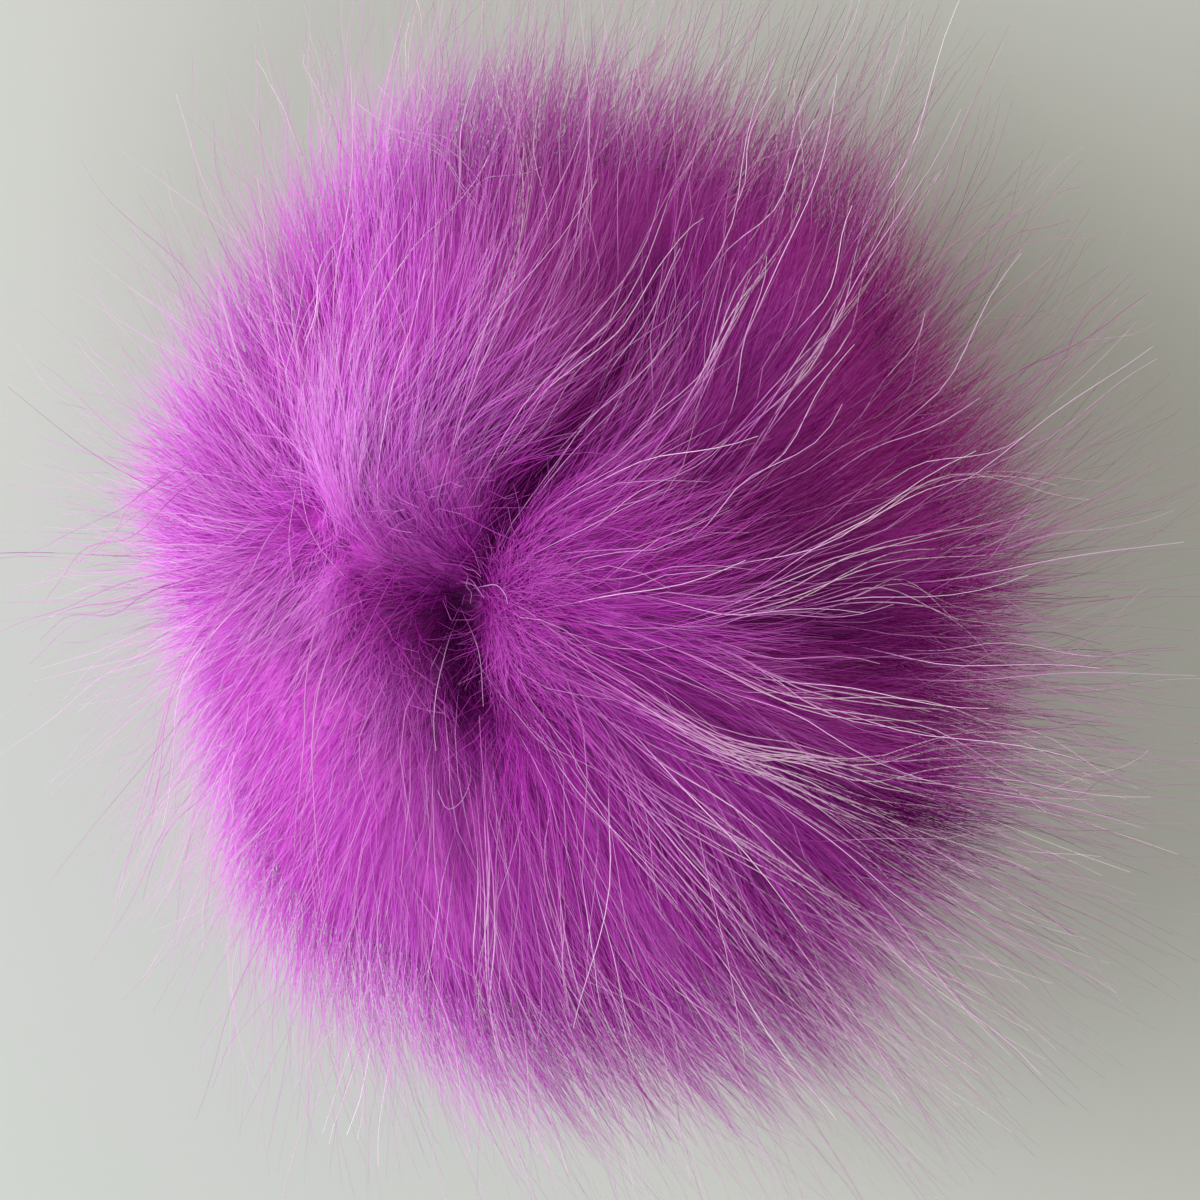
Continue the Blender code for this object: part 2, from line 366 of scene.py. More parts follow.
def layHairs(name, paths, thickness, tone, material, soften=0.0):
    # paths: hair, point, xyz; thickness: hair, point; tone: hair
    count, points = paths.shape[:2]
    mesh = bpy.data.meshes.new(name + "Lines")
    mesh.vertices.add(count * points)
    mesh.vertices.foreach_set("co", paths.astype(np.float32).ravel())
    first = (np.arange(count)[:, None] * points + np.arange(points - 1)[None, :]).ravel()
    mesh.edges.add(len(first))
    mesh.edges.foreach_set("vertices", np.stack([first, first + 1], axis=1).ravel().astype(np.int32))
    along = np.tile(np.linspace(0, 1, points), count)
    tones = np.repeat(tone, points)
    for label, values in (("thickness", thickness.ravel()), ("tone", tones), ("along", along)):
        mesh.attributes.new(label, "FLOAT", "POINT").data.foreach_set("value", values.astype(np.float32))
    ground = np.repeat(peltFacing(unit(paths[:, 0] - ballCentre)), points, axis=0)
    share = hairTube["groundShare"]
    facing = unit(ground * share + outwardAt(paths.reshape(-1, 3)) * (1 - share))
    face = mesh.attributes.new("face", "FLOAT_VECTOR", "POINT")
    face.data.foreach_set("vector", facing.astype(np.float32).ravel())
    lines = newObject(name + "Lines", mesh)
    lines.modifiers.new("tubes", "NODES").node_group = tubeTree
    graph = bpy.context.evaluated_depsgraph_get()
    done = bpy.data.meshes.new_from_object(lines.evaluated_get(graph), depsgraph=graph)
    bpy.data.objects.remove(lines)
    done.name = name
    if soften:
        # fine hairs are lit as one soft mass
        size = len(done.vertices) * 3
        mass, own = np.empty(size, np.float32), np.empty(size, np.float32)
        done.attributes["face"].data.foreach_get("vector", mass)
        done.vertex_normals.foreach_get("vector", own)
        lit = unit(mass.reshape(-1, 3) * soften + own.reshape(-1, 3) * (1 - soften))
        done.normals_split_custom_set_from_vertices(lit)
    for label in ("thickness", "tone", "along", "around", "face"):
        if label in done.attributes:
            done.attributes.remove(done.attributes[label])
    piece = newObject(name, done)
    done.materials.clear()
    done.materials.append(material)
    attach(piece, "root")
    print(name, count, "hairs,", sum(len(p.vertices) - 2 for p in done.polygons), "triangles")


def taper(count, points, root, belly, tip, chance):
    # half thickness along each hair, thickest at the belly
    s = np.linspace(0, 1, points)
    middle = hairTube["bellyAt"]
    late = np.clip((s - middle) / (1 - middle), 0, 1) ** hairTube["tipCurve"]
    shape = np.where(s < middle, root + (belly - root) * s / middle, belly + (tip - belly) * late)
    return shape[None, :] * (1 + hairTube["uneven"] * chance.uniform(-1, 1, (count, 1)))


def newMaterial(name):
    material = bpy.data.materials.new(name)
    material.use_nodes = True
    tree = material.node_tree
    return material, tree, tree.nodes["Principled BSDF"]


def rampNode(tree, stops):
    ramp = tree.nodes.new("ShaderNodeValToRGB")
    elements = ramp.color_ramp.elements
    while len(elements) < len(stops):
        elements.new(0.5)
    for element, (position, colour) in zip(elements, stops):
        element.position = position
        element.color = (*colour, 1.0)
    return ramp


# Each fibre has its colour from root to tip, once for the deepest tone and once for the brightest.
underfurLook = {
    "deep": [
        (0.0, (0.32, 0.002, 0.28)), (0.35, (0.41, 0.006, 0.36)),
        (0.75, (0.50, 0.014, 0.45)), (1.0, (0.56, 0.034, 0.51))],
    "bright": [
        (0.0, (0.53, 0.030, 0.54)), (0.35, (0.71, 0.110, 0.745)),
        (0.75, (0.78, 0.25, 0.82)), (1.0, (0.86, 0.48, 0.90))],
    "roughness": 0.7, "specular": 0.0, "through": 0.56}
guardLook = {
    "deep": [
        (0.0, (0.40, 0.010, 0.37)), (0.3, (0.48, 0.035, 0.45)),
        (0.7, (0.52, 0.11, 0.50)), (1.0, (0.48, 0.18, 0.47))],
    "bright": [
        (0.0, (0.46, 0.05, 0.46)), (0.18, (0.68, 0.24, 0.70)),
        (0.38, (0.94, 0.72, 0.95)), (1.0, (0.98, 0.90, 0.98))],
    "roughness": 0.33, "specular": 0.5, "through": 0.45}
longLook = {
    "deep": [
        (0.0, (0.40, 0.010, 0.37)), (0.3, (0.48, 0.035, 0.45)),
        (0.7, (0.54, 0.13, 0.52)), (1.0, (0.52, 0.20, 0.51))],
    "bright": [
        (0.0, (0.50, 0.06, 0.50)), (0.18, (0.68, 0.24, 0.69)),
        (0.38, (0.95, 0.80, 0.95)), (1.0, (1.0, 0.95, 1.0))],
    "roughness": 0.30, "specular": 0.5, "through": 0.40}


def fibreMaterial(name, look):
    # colour from root to tip, with a tone for each hair: both read from the hair's own map
    material, tree, surface = newMaterial(name)
    links = tree.links
    where = tree.nodes.new("ShaderNodeUVMap")
    where.uv_map = "OFBake"
    split = tree.nodes.new("ShaderNodeSeparateXYZ")
    links.new(where.outputs["UV"], split.inputs["Vector"])
    deep = rampNode(tree, look["deep"])
    bright = rampNode(tree, look["bright"])
    for ramp in (deep, bright):
        links.new(split.outputs["X"], ramp.inputs["Fac"])
    mix = tree.nodes.new("ShaderNodeMix")
    mix.data_type = "RGBA"
    mix.clamp_factor = True
    links.new(split.outputs["Y"], mix.inputs["Factor"])
    links.new(deep.outputs["Color"], mix.inputs["A"])
    links.new(bright.outputs["Color"], mix.inputs["B"])
    # the lowest tones belong to the hollows, where little light comes in
    shade = tree.nodes.new("ShaderNodeMapRange")
    for socket, label in (("From Min", "hollowTone"), ("From Max", "openTone"), ("To Min", "hollowShade")):
        shade.inputs[socket].default_value = hairTube[label]
    links.new(split.outputs["Y"], shade.inputs["Value"])
    shaded = tree.nodes.new("ShaderNodeVectorMath")
    shaded.operation = "SCALE"
    links.new(mix.outputs["Result"], shaded.inputs[0])
    links.new(shade.outputs["Result"], shaded.inputs["Scale"])
    colour = shaded.outputs["Vector"]
    links.new(colour, surface.inputs["Base Color"])
    surface.inputs["Roughness"].default_value = look["roughness"]
    surface.inputs["Specular IOR Level"].default_value = look["specular"]
    through = tree.nodes.new("ShaderNodeBsdfTranslucent")
    links.new(colour, through.inputs["Color"])
    blend = tree.nodes.new("ShaderNodeMixShader")
    blend.inputs["Fac"].default_value = look["through"]
    links.new(surface.outputs["BSDF"], blend.inputs[1])
    links.new(through.outputs["BSDF"], blend.inputs[2])
    links.new(blend.outputs["Shader"], tree.nodes["Material Output"].inputs["Surface"])
    return material


peltLook = {
    "across": 130.0, "along": 7.0,  # how fine the streaks are, across the hair and along it
    "crimpAcross": 150.0, "crimpAlong": 60.0, "crimpShare": 0.45,
    "detail": 3.0, "distortion": 0.4,
    "sideShift": (-0.008, 0.006, -0.004), "sideReach": 0.020, "sideCore": 0.3,
    "stops": [(0.28, (0.34, 0.020, 0.31)), (0.50, (0.46, 0.060, 0.44)), (0.72, (0.58, 0.12, 0.57))],
    # the colour of the painted shade in the hollows
    "hollow": (0.030, 0.0004, 0.028),
    "bumpStrength": 0.5, "bumpHeight": 0.0004,
    "roughness": 0.85, "specular": 0.1}


def streakGroup():
    # streaks that run away from a parting, from 0 to 1
    group = bpy.data.node_groups.new("combedStreaks", "ShaderNodeTree")
    group.interface.new_socket("Parting", in_out="INPUT", socket_type="NodeSocketVector")
    for label, way in (("Across", "INPUT"), ("Along", "INPUT"), ("Streaks", "OUTPUT")):
        group.interface.new_socket(label, in_out=way, socket_type="NodeSocketFloat")
    nodes, links = group.nodes, group.links
    start = nodes.new("NodeGroupInput")
    end = nodes.new("NodeGroupOutput")

    def worked(kind, operation, *values):
        node = nodes.new(kind)
        node.operation = operation
        for socket, value in zip(node.inputs, values):
            if isinstance(value, (tuple, float)):
                socket.default_value = value
            else:
                links.new(value, socket)
        return node.outputs["Value" if operation == "DOT_PRODUCT" else 0]

    def vector(operation, *values):
        return worked("ShaderNodeVectorMath", operation, *values)

    def scaled(direction, amount):
        node = nodes.new("ShaderNodeVectorMath")
        node.operation = "SCALE"
        links.new(direction, node.inputs[0])
        links.new(amount, node.inputs["Scale"])
        return node.outputs["Vector"]

    where = nodes.new("ShaderNodeTexCoord")
    heading = vector("NORMALIZE", vector("SUBTRACT", where.outputs["Object"], tuple(ballCentre)))
    axis = vector("NORMALIZE", vector("SUBTRACT", start.outputs["Parting"], tuple(ballCentre)))
    rise = vector("DOT_PRODUCT", heading, axis)
    level = vector("NORMALIZE", vector("SUBTRACT", heading, scaled(axis, rise)))
    walked = worked("ShaderNodeMath", "ARCCOSINE", rise)
    run = worked("ShaderNodeMath", "MULTIPLY", walked, start.outputs["Along"])
    streaks = nodes.new("ShaderNodeTexNoise")
    streaks.inputs["Scale"].default_value = 1.0
    streaks.inputs["Detail"].default_value = peltLook["detail"]
    streaks.inputs["Distortion"].default_value = peltLook["distortion"]
    place = vector("ADD", scaled(level, start.outputs["Across"]), scaled(axis, run))
    links.new(place, streaks.inputs["Vector"])
    links.new(streaks.outputs["Fac"], end.inputs["Streaks"])
    return group


def peltMaterial():
    # the close mass of underfur, streaked away from its two partings and darkened in the hollows with painted
    # shade
    material, tree, surface = newMaterial("peltFur")
    links, nodes = tree.links, tree.nodes
    group = streakGroup()
    streaks = []
    for point in (gatherPoint, sidePoint):
        layers = []
        for across, along in (("across", "along"), ("crimpAcross", "crimpAlong")):
            node = nodes.new("ShaderNodeGroup")
            node.node_tree = group
            node.inputs["Parting"].default_value = tuple(point)
            node.inputs["Across"].default_value = peltLook[across]
            node.inputs["Along"].default_value = peltLook[along]
            layers.append(node.outputs["Streaks"])
        blend = nodes.new("ShaderNodeMix")
        blend.inputs["Factor"].default_value = peltLook["crimpShare"]
        links.new(layers[0], blend.inputs["A"])
        links.new(layers[1], blend.inputs["B"])
        streaks.append(blend.outputs["Result"])

    # 1 round the side parting, falling to 0 away from it
    where = nodes.new("ShaderNodeTexCoord")
    away = nodes.new("ShaderNodeVectorMath")
    away.operation = "DISTANCE"
    links.new(where.outputs["Object"], away.inputs[0])
    away.inputs[1].default_value = tuple(sidePoint + np.array(peltLook["sideShift"]))
    nearSide = nodes.new("ShaderNodeMapRange")
    nearSide.interpolation_type = "SMOOTHSTEP"
    nearSide.inputs["From Min"].default_value = peltLook["sideReach"]
    nearSide.inputs["From Max"].default_value = peltLook["sideReach"] * peltLook["sideCore"]
    links.new(away.outputs["Value"], nearSide.inputs["Value"])

    both = nodes.new("ShaderNodeMix")
    links.new(nearSide.outputs["Result"], both.inputs["Factor"])
    links.new(streaks[0], both.inputs["A"])
    links.new(streaks[1], both.inputs["B"])
    ramp = rampNode(tree, peltLook["stops"])
    links.new(both.outputs["Result"], ramp.inputs["Fac"])
    # painted shade: the colour is drawn to a deep purple in the hollows
    paintedShadeMix = nodes.new("ShaderNodeMix")
    paintedShadeMix.data_type = "RGBA"
    hollow = nodes.new("ShaderNodeAttribute")
    hollow.attribute_name = "hollow"
    links.new(hollow.outputs["Fac"], paintedShadeMix.inputs["Factor"])
    links.new(ramp.outputs["Color"], paintedShadeMix.inputs["A"])
    paintedShadeMix.inputs["B"].default_value = (*peltLook["hollow"], 1.0)
    links.new(paintedShadeMix.outputs["Result"], surface.inputs["Base Color"])
    bump = nodes.new("ShaderNodeBump")
    bump.inputs["Strength"].default_value = peltLook["bumpStrength"]
    bump.inputs["Distance"].default_value = peltLook["bumpHeight"]
    links.new(both.outputs["Result"], bump.inputs["Height"])
    links.new(bump.outputs["Normal"], surface.inputs["Normal"])
    surface.inputs["Roughness"].default_value = peltLook["roughness"]
    surface.inputs["Specular IOR Level"].default_value = peltLook["specular"]
    return material


def makePelt():
    bm = bmesh.new()
    bmesh.ops.create_icosphere(bm, subdivisions=pelt["fineness"], radius=1.0)
    headings = unit(np.array([v.co[:] for v in bm.verts]))
    places = peltPoint(headings)
    relief = sum(smoothNoise(headings, scale, seed) * height for scale, seed, height in pelt["relief"])
    places += headings * relief[:, None]
    places[:, 2] = np.maximum(places[:, 2], 0.0)
    for vertex, place in zip(bm.verts, places):
        vertex.co = place
    mesh = bpy.data.meshes.new("pelt")
    bmesh.ops.recalc_face_normals(bm, faces=bm.faces)
    bm.to_mesh(mesh)
    bm.free()
    mesh.shade_smooth()
    # how deep the painted shade is at each point of the pelt
    hollow = mesh.attributes.new("hollow", "FLOAT", "POINT")
    hollow.data.foreach_set("value", paintedShadeAt(places).astype(np.float32))
    piece = newObject("pelt", mesh)
    mesh.materials.append(peltMaterial())
    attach(piece, "root")
    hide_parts("fur_ball")
    print("pelt made")


makePelt()
fibreFur = fibreMaterial("underfurFibre", underfurLook)
guardFur = fibreMaterial("guardFibre", guardLook)
longFur = fibreMaterial("longFibre", longLook)


underfur = {
    "seed": 3, "lowest": 0.004,
    "length": 0.0160,
    "rimLength": 0.74, "rimSpan": (0.010, 0.045),  # share of the length low down, from there up
    "partingLength": 0.62, "partingReach": 0.018,
    # azimuth round the ball's middle, share of the length
    "round": [
        (-180, 0.58), (-150, 0.70), (-112, 1.26), (-67, 1.34), (-42, 0.92), (-20, 0.84), (0, 0.98),
        (45, 0.92), (67, 0.80), (90, 1.04), (112, 1.02), (135, 1.22), (157, 0.86), (180, 0.58)],
    "comb": {
        "outPull": 0.31, "alongPull": 0.88, "downShare": 0.30, "easeDown": 0.30,
        "steepAtParting": 0.4, "steepReach": 0.010},
    "broadTurn": 34.0, "singleTurn": 11.0,
    "rimStray": 1.1, "rimUneven": 0.35, "rimTop": 0.050, "rimDepth": 0.030,
    "crimp": 0.00018, "wave": (0.0005, 0.7),  # size and number of waves
    # locks: the middle lines that the hairs are drawn to
    "guides": 2400, "guidePoints": 5, "guideLengths": (0.85, 1.25), "guideWave": (0.0009, 0.6),
    "hold": 0.15, "holdCurve": 1.3,
    "points": 5, "width": (0.000036, 0.000045, 0.000013),
    "hairs": 28400, "lengths": (0.65, 1.25), "rise": 0.0032, "scatter": 0.09,
    # more hair where it runs apart beside the partings: plan in mm, hairs, reach in metres
    "fill": [
        ((-36.0, 6.0), 1300, 0.0095), ((-30.0, 4.0), 500, 0.0070),
        ((-12.0, -3.0), 700, 0.0110), ((-10.0, 8.0), 500, 0.0060)],
    "fillLengths": (0.65, 1.15), "fillTurn": 1.4,
    # short tangled hair round the partings: plan in mm, hairs, reach in metres
    "tangled": [
        ((-12.5, -4.0), 900, 0.0060), ((-12.0, -13.0), 400, 0.0045), ((-30.5, 6.3), 900, 0.0070),
        ((-23.0, -4.0), 250, 0.0045), ((-19.0, 4.0), 150, 0.0060)],
    "tangledLength": 0.0085, "tangledLengths": (0.4, 1.3), "tangledTurn": 40.0,
    "tangledRise": 0.0020, "tangledScatter": 0.11,
    "patchSpread": 1.6,
    "soften": 0.88}

# How bright the underfur is, from 0 to 1, with painted light and painted shade in it.
underfurTone = {
    "middle": 0.60, "guide": 0.07,
    "patches": (60.0, 5), "patchShare": 0.30,  # scale and seed, then their share
    "paintedSideShading": 0.37, "sideReach": 0.040, "sideMost": 0.6,  # darker to the right, paler to the left: painted shade and painted light, as the light falls from the left
    # painted shade in the valleys
    "paintedValleyShade": 0.15, "valleyDepth": 0.003,
    "range": (0.20, 0.98),
    # painted shade in the hollows
    "paintedShadeFall": 0.93, "paintedShadeGain": 1.3}


def byPlace(roots):
    # hair is shorter low down on the sides and round the partings
    low, span = underfur["rimSpan"]
    rim = np.clip((roots[:, 2] - low) / span, 0, 1)
    near = np.clip(np.linalg.norm(roots - gatherPoint, axis=1) / underfur["partingReach"], 0, 1)
    lengths = underfur["length"] * (underfur["rimLength"] + (1 - underfur["rimLength"]) * rim)
    lengths = lengths * fromTable(underfur["round"], azimuthOf(roots))
    return lengths * (underfur["partingLength"] + (1 - underfur["partingLength"]) * near)


def gatherLocks(paths, roots, guides, guidePaths, hold):
    # draw each hair towards the nearest lock's middle line, most at the tip
    tree = KDTree(len(guides))
    for index, place in enumerate(guides):
        tree.insert(Vector(place), index)
    tree.balance()
    nearest = np.array([tree.find(Vector(place))[1] for place in roots])
    line = np.linspace(0, 1, guidePaths.shape[1])
    along = np.linspace(0, 1, paths.shape[1])
    low = np.minimum((along * (len(line) - 1)).astype(int), len(line) - 2)
    part = along * (len(line) - 1) - low
    middle = guidePaths[:, low] * (1 - part)[None, :, None] + guidePaths[:, low + 1] * part[None, :, None]
    share = along ** underfur["holdCurve"] * hold
    return paths + (middle[nearest] - paths) * share[None, :, None], nearest


def wavy(paths, amount, waves, chance):
    # small waves across each hair, growing to the tip, with others the second way across
    crossWaves, crossShare, leastSize = 1.3, 0.7, 0.3
    count, points = paths.shape[:2]
    s = np.linspace(0, 1, points)[None, :]
    heading = unit(paths[:, -1] - paths[:, 0])
    side = unit(np.cross(heading, chance.normal(0, 1, (count, 3))))
    other = np.cross(heading, side)
    first, second = chance.uniform(0, 2 * math.pi, (2, count, 1))
    bend = np.sin(s * waves * 2 * math.pi + first) - np.sin(first)
    cross = np.sin(s * waves * crossWaves * 2 * math.pi + second) - np.sin(second)
    size = amount * np.minimum(1.0, s * 2) * chance.uniform(leastSize, 1.0, (count, 1))
    paths = paths + side[:, None, :] * (size * bend)[:, :, None]
    return paths + other[:, None, :] * (size * cross * crossShare)[:, :, None]


def clearOfPelt(paths, lift):
    # no hair runs back under the pelt or below the floor
    rootSink, floorGap = 0.0002, 0.0003
    flat = paths.reshape(-1, 3)
    headings = unit(flat - ballCentre)
    away = np.linalg.norm(flat - ballCentre, axis=1)
    least = np.linalg.norm(peltPoint(headings) - ballCentre, axis=1)
    rising = np.tile(np.linspace(-rootSink, lift, paths.shape[1]), paths.shape[0])
    flat = ballCentre + headings * np.maximum(away, least + rising)[:, None]
    flat[:, 2] = np.maximum(flat[:, 2], floorGap)
    return flat.reshape(paths.shape)


def makeUnderfur():
    chance = np.random.default_rng(underfur["seed"])
    comb, single = underfur["comb"], underfur["singleTurn"]
    guides = evenRoots(underfur["guides"], underfur["lowest"], chance)
    guideLengths = byPlace(guides) * chance.uniform(*underfur["guideLengths"], len(guides))
    turns = strayTurns(guides, underfur["broadTurn"], single, chance)
    guidePaths = growPaths(guides, guideLengths, underfur["guidePoints"], comb, turns)
    guidePaths = wavy(guidePaths, *underfur["guideWave"], chance)
    guideTone = chance.uniform(-1, 1, len(guides)) * underfurTone["guide"]

    def tones(roots, middles, nearest, scatter):
        look = underfurTone
        patches = smoothNoise(roots, *look["patches"]) * look["patchShare"]
        tone = look["middle"] + patches + guideTone[nearest] + chance.normal(0, scatter, len(roots))
        # painted light along the lit runs and to the left; painted shade to the right, in the valleys and in
        # the hollows
        tone = tone + strongestLine(roots, pelt["paintedLightRuns"])
        tone = tone - look["paintedSideShading"] * np.clip(roots[:, 0] / look["sideReach"], -look["sideMost"], 1)
        tone = tone - look["paintedValleyShade"] * np.minimum(1, valleyDepth(roots) / look["valleyDepth"])
        dark = look["paintedShadeFall"] * np.clip(paintedShadeAt(middles) * look["paintedShadeGain"], 0, 1)
        return np.clip(tone, *look["range"]) * (1 - dark)

    def lowness(roots):
        return np.clip((underfur["rimTop"] - roots[:, 2]) / underfur["rimDepth"], 0, 1)

    def grown(roots, lengths, hold, turn, rise="rise", scatter="scatter"):
        points = underfur["points"]
        astray = turn * (1 + underfur["rimStray"] * lowness(roots))
        turns = strayTurns(roots, underfur["broadTurn"], astray, chance)
        paths = growPaths(roots, lengths, points, comb, turns)
        paths, nearest = gatherLocks(paths, roots, guides, guidePaths, hold)
        paths = wavy(paths, *underfur["wave"], chance)
        paths[:, 1:] += chance.normal(0, underfur["crimp"], paths[:, 1:].shape)
        paths = clearOfPelt(paths, underfur[rise])
        thickness = taper(len(roots), points, *underfur["width"], chance)
        return paths, thickness, tones(roots, paths[:, 1], nearest, underfur[scatter])

    def patches(rows):
        plan = []
        for middle, count, reach in rows:
            apart = chance.normal(0, reach / underfur["patchSpread"], (count, 2))
            plan.append(np.array(middle) * mm + apart)
        return peltPoint(unit(topPoint(np.vstack(plan)) - ballCentre))

    roots = evenRoots(underfur["hairs"], underfur["lowest"], chance)
    lengths = byPlace(roots) * chance.uniform(*underfur["lengths"], len(roots))
    lengths *= 1 + underfur["rimUneven"] * lowness(roots) * chance.uniform(-1, 1, len(roots))
    paths, thickness, tone = grown(roots, lengths, underfur["hold"], single)
    quarter = ((np.arctan2(roots[:, 1], roots[:, 0]) + math.pi) / (2 * math.pi) * 4).astype(int) % 4
    labels = ("underfurLeftFront", "underfurRightFront", "underfurRightBack", "underfurLeftBack")
    for index, label in enumerate(labels):
        chosen = quarter == index
        layHairs(label, paths[chosen], thickness[chosen], tone[chosen], fibreFur, underfur["soften"])

    roots = patches(underfur["fill"])
    lengths = byPlace(roots) * chance.uniform(*underfur["fillLengths"], len(roots))
    hairs = grown(roots, lengths, 0.0, single * underfur["fillTurn"])
    layHairs("underfurFill", *hairs, fibreFur, underfur["soften"])

    roots = patches(underfur["tangled"])
    lengths = underfur["tangledLength"] * chance.uniform(*underfur["tangledLengths"], len(roots))
    hairs = grown(roots, lengths, 0.0, underfur["tangledTurn"], "tangledRise", "tangledScatter")
    layHairs("underfurTangled", *hairs, fibreFur, underfur["soften"])


makeUnderfur()


# Straighter hairs over the underfur. A tone is drawn between two values and falls to one side.
guard = {
    "seed": 8, "lowest": 0.008,
    "comb": {
        "outPull": 0.48, "alongPull": 0.85, "downShare": 0.14, "easeDown": 0.30,
        "steepAtParting": 0.5, "steepReach": 0.010},
    "broadTurn": 32.0, "singleTurn": 11.0,
    "awn": {
        "count": 1600, "points": 6, "length": 0.0225, "lengths": (0.6, 1.25),
        "width": (0.000040, 0.000045, 0.000018), "wave": (0.0010, 0.9), "lift": 0.005,
        "tone": (0.22, 0.38), "toneFall": 0.20, "toneReach": 0.025, "soften": 0.5},
    "long": {
        "count": 440, "points": 12, "length": 0.031, "lengths": (0.6, 1.25),
        "width": (0.00005, 0.00006, 0.000025), "wave": (0.0010, 1.1), "lift": 0.006,
        "tone": (0.28, 0.92), "toneFall": 0.25, "toneReach": 0.015, "toneFrom": 0.005, "range": (0.22, 0.95),
        # azimuth round the gather, share of hairs kept
        "kept": [
            (-180, 0.35), (-130, 0.6), (-90, 1.0), (-20, 1.0), (30, 0.7),
            (75, 0.8), (105, 0.6), (140, 0.4), (180, 0.35)]},
    "halo": {
        "count": 3200, "points": 5, "length": 0.027, "lengths": (0.40, 1.25),
        "width": (0.000032, 0.000036, 0.000015), "wave": (0.0013, 0.9), "lift": 0.003,
        "tone": (0.30, 0.75), "toneFall": 0.22, "toneReach": 0.030, "toneLeast": 0.20, "soften": 0.5,
        "astray": 2.2,
        "band": (-12, 38),  # rise over the ball's middle, in degrees
        # azimuth, share of the length
        "round": [
            (-180, 0.75), (-120, 1.0), (-67, 1.25), (-30, 1.2), (0, 1.1),
            (90, 1.0), (135, 1.0), (180, 0.75)],
        # azimuth, how thickly the hairs stand
        "dense": [
            (-180, 0.9), (-140, 0.9), (-110, 1.0), (-67, 1.5), (-20, 1.5), (0, 1.1),
            (40, 0.8), (90, 1.0), (125, 0.9), (180, 0.9)]}}


def guardHairs(roots, kind, chance, share=1.0, astray=1.0):
    lengths = kind["length"] * chance.uniform(*kind["lengths"], len(roots)) * share
    turns = strayTurns(roots, guard["broadTurn"], guard["singleTurn"] * astray, chance)
    paths = growPaths(roots, lengths, kind["points"], guard["comb"], turns)
    paths = clearOfPelt(wavy(paths, *kind["wave"], chance), kind["lift"])
    return paths, taper(len(roots), kind["points"], *kind["width"], chance)


def makeGuardHairs():
    chance = np.random.default_rng(guard["seed"])

    awn = guard["awn"]
    roots = evenRoots(awn["count"], guard["lowest"], chance)
    paths, thickness = guardHairs(roots, awn, chance)
    # painted shade: the awns are darker towards the right
    fall = awn["toneFall"] * np.clip(roots[:, 0] / awn["toneReach"], 0, 1)
    tone = chance.uniform(*awn["tone"], len(roots)) - fall
    layHairs("awnHairs", paths, thickness, tone, guardFur, awn["soften"])

    long = guard["long"]
    roots = evenRoots(long["count"], guard["lowest"], chance)
    kept = fromTable(long["kept"], azimuthOf(roots, gatherPoint))
    roots = roots[chance.uniform(0, 1, len(roots)) < kept]
    paths, thickness = guardHairs(roots, long, chance)
    fall = long["toneFall"] * np.clip(-(roots[:, 0] + long["toneFrom"]) / long["toneReach"], 0, 1)
    tone = np.clip(chance.uniform(*long["tone"], len(roots)) - fall, *long["range"])
    layHairs("guardHairs", paths, thickness, tone, guardFur)

    halo = guard["halo"]
    turn = chance.uniform(-180, 180, halo["count"] * 2)
    densest = max(dense for azimuth, dense in halo["dense"])
    turn = turn[chance.uniform(0, densest, len(turn)) < fromTable(halo["dense"], turn)][:halo["count"]]
    rise = chance.uniform(*halo["band"], len(turn))
    roots = peltPoint(np.array([headingOf(a, r) for a, r in zip(turn, rise)]))
    paths, thickness = guardHairs(roots, halo, chance, fromTable(halo["round"], turn), halo["astray"])
    fall = halo["toneFall"] * np.clip(np.abs(roots[:, 0]) / halo["toneReach"], 0, 1)
    tone = np.maximum(chance.uniform(*halo["tone"], len(roots)) - fall, halo["toneLeast"])
    layHairs("haloHairs", paths, thickness, tone, guardFur, halo["soften"])


makeGuardHairs()


